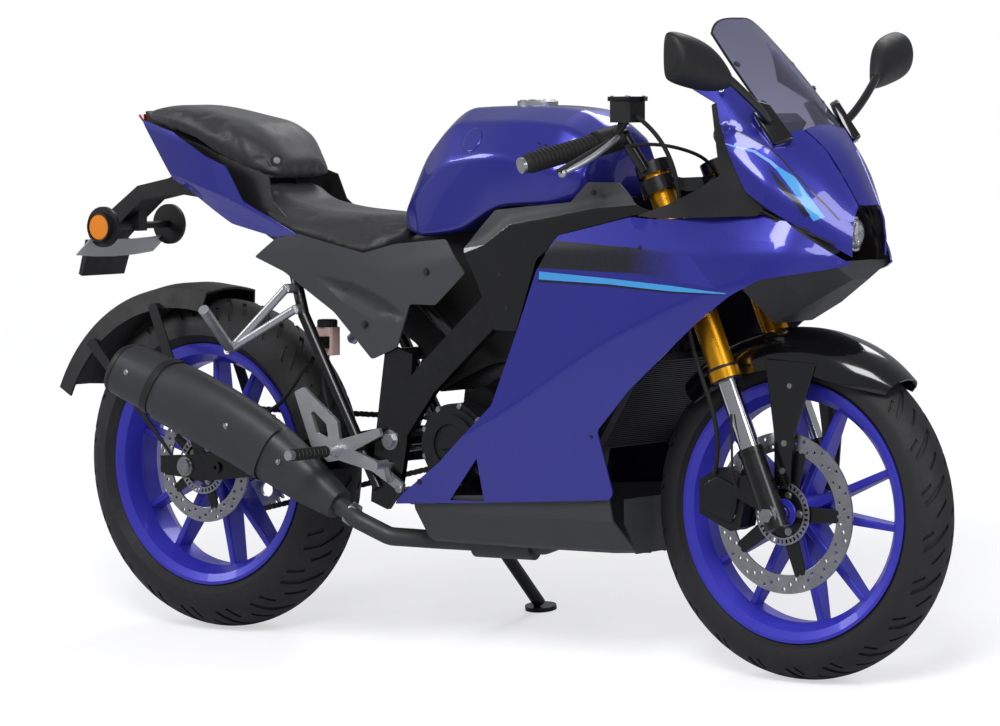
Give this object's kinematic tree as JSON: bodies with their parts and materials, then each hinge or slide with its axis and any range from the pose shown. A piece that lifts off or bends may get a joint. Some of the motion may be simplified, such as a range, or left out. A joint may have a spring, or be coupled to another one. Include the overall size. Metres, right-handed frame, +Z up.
{
  "type": "sport motorcycle",
  "caption": "Fully faired sport motorcycle leaning on its side stand, with turning wheels, steering fork and folding stand.",
  "frame": {"origin": "on the floor, below the middle of the parked motorcycle's box", "axes": "+X forward, +Y to the rider's left, +Z up; the motorcycle leans 10 degrees towards +Y"},
  "size_m": [1.99, 0.778, 1.17],
  "materials": {
    "violet_paint": "glossy two-coat paint on moulded plastic",
    "wheel_paint": "satin powder coat on cast alloy",
    "gloss_black": "polished black plastic",
    "black_plastic": "grained black plastic",
    "grey_plastic": "matt dark grey plastic",
    "black_frame": "black enamel on steel",
    "engine_black": "black enamel on cast alloy",
    "muffler_grey": "heat-resisting matt grey enamel",
    "alloy": "shot-blasted alloy",
    "gold_alloy": "gold anodised",
    "chrome_tube": "hard chromed",
    "steel": "ground steel",
    "chain_steel": "oiled steel",
    "rubber": "moulded rubber",
    "tyre": "tyre rubber",
    "seat_cover": "grained vinyl",
    "clear_lens": "clear lens",
    "smoke_screen": "smoke-tinted sheet",
    "red_lens": "red lens",
    "amber_lens": "amber reflector",
    "reservoir": "milky plastic",
    "fin_alloy": "thin alloy fins"
  },
  "bodies": {
    "frame": {"main_frame": "black_frame", "subframe": "black_frame", "engine": "engine_black", "radiator": "fin_alloy", "exhaust_pipe": "muffler_grey", "muffler": "muffler_grey", "swingarm": "black_frame", "rear_shock": "black_frame", "fuel_tank": "violet_paint", "fuel_cap": "alloy", "rider_seat": "seat_cover", "pillion_seat": "seat_cover", "tail_panels": "violet_paint", "tail_core": "black_plastic", "tail_lamp": "red_lens", "plate_holder": "black_plastic", "rear_reflectors": "amber_lens", "side_covers": "grey_plastic", "rear_mudguard": "black_plastic", "nose_cowl": "violet_paint", "nose_chin": "grey_plastic", "headlamp": "clear_lens", "windscreen": "smoke_screen", "instrument_panel": "black_plastic", "fairing_stay": "black_frame", "nose_inner": "black_plastic", "mirrors": "black_plastic", "side_fairing_right": "violet_paint", "side_fairing_left": "violet_paint", "belly_pan": "grey_plastic", "intake_covers": "gloss_black", "footrests": "alloy", "pillion_footrests": "alloy", "brake_reservoir": "reservoir", "chain": "chain_steel", "rear_axle": "steel", "rear_caliper": "engine_black"},
    "steering": {"fork_uppers": "gold_alloy", "fork_inner_tubes": "chrome_tube", "fork_bottoms": "black_frame", "triple_clamps": "black_frame", "handlebars": "black_frame", "grips": "rubber", "hand_controls": "black_plastic", "front_fender": "gloss_black", "front_caliper": "engine_black", "front_axle": "steel"},
    "front_wheel": {"front_rim": "wheel_paint", "front_tyre": "tyre", "front_disc": "steel"},
    "rear_wheel": {"rear_rim": "wheel_paint", "rear_tyre": "tyre", "rear_disc": "steel", "rear_sprocket": "steel"},
    "side_stand": {"side_stand": "black_frame"}
  },
  "joints": [
    {"name": "steering_turn", "type": "hinge", "parent": "frame", "child": "steering", "pos_m": [0.45162, -0.02861, 0.77684], "axis": [-0.3907, 0.1598, 0.9065], "range_deg": [-32, 32]},
    {"name": "front_wheel_spin", "type": "hinge", "parent": "steering", "child": "front_wheel", "pos_m": [0.698, -0.11383, 0.29355], "axis": [0, 0.9848, -0.1736], "continuous": true},
    {"name": "rear_wheel_spin", "type": "hinge", "parent": "frame", "child": "rear_wheel", "pos_m": [-0.627, -0.11088, 0.31029], "axis": [0, 0.9848, -0.1736], "continuous": true},
    {"name": "side_stand_fold", "type": "hinge", "parent": "frame", "child": "side_stand", "pos_m": [-0.105, -0.00439, 0.20013], "axis": [0, 0.8778, 0.479], "range_deg": [0, 98]}
  ]
}
